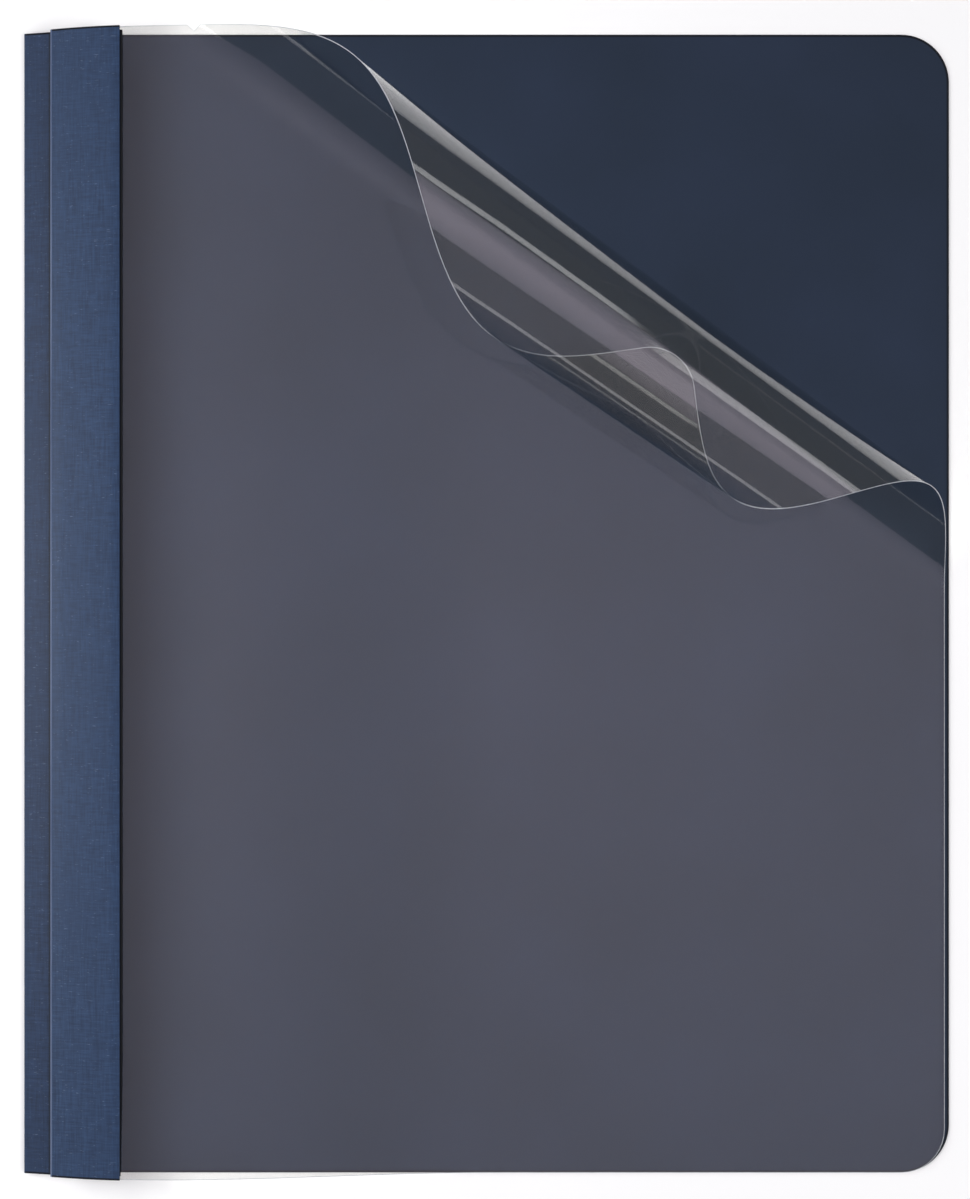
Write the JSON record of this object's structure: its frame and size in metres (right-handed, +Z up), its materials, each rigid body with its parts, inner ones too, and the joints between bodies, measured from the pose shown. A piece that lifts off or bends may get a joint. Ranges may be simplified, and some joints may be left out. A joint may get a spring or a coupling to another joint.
{
  "type": "report cover",
  "caption": "Letter-size report cover of embossed card with a gusset spine, prong fasteners and a clear film front whose free corner has rolled up.",
  "frame": {"origin": "middle of the back cover's outline, on its underside", "axes": "+X from the spine to the open edge, +Y along the spine to the top edge, +Z up through the front; the cover lies on its back"},
  "size_m": [0.232, 0.2858, 0.0395],
  "materials": {
    "inner_card": "smooth matt dyed card",
    "linen_card": "linen-embossed dyed card, satin",
    "strip_card": "matt dyed card",
    "clear_film": "clear gloss film",
    "plated_steel": "plated soft steel"
  },
  "bodies": {
    "back": {"back_cover": "inner_card", "fastener_strip": "strip_card", "fastener_top": "plated_steel", "fastener_middle": "plated_steel", "fastener_bottom": "plated_steel"},
    "spine": {"spine": "linen_card"},
    "front": {"front_flange": "linen_card", "clear_front": "clear_film"}
  },
  "joints": [
    {"name": "spine_hinge", "type": "hinge", "parent": "back", "child": "spine", "pos_m": [-0.1158, 0, 0.0009], "axis": [0, -1, 0], "range_deg": [0, 150]},
    {"name": "front_hinge", "type": "hinge", "parent": "spine", "child": "front", "pos_m": [-0.1084, 0, 0.0046], "axis": [0, -1, 0], "range_deg": [0, 150]}
  ]
}
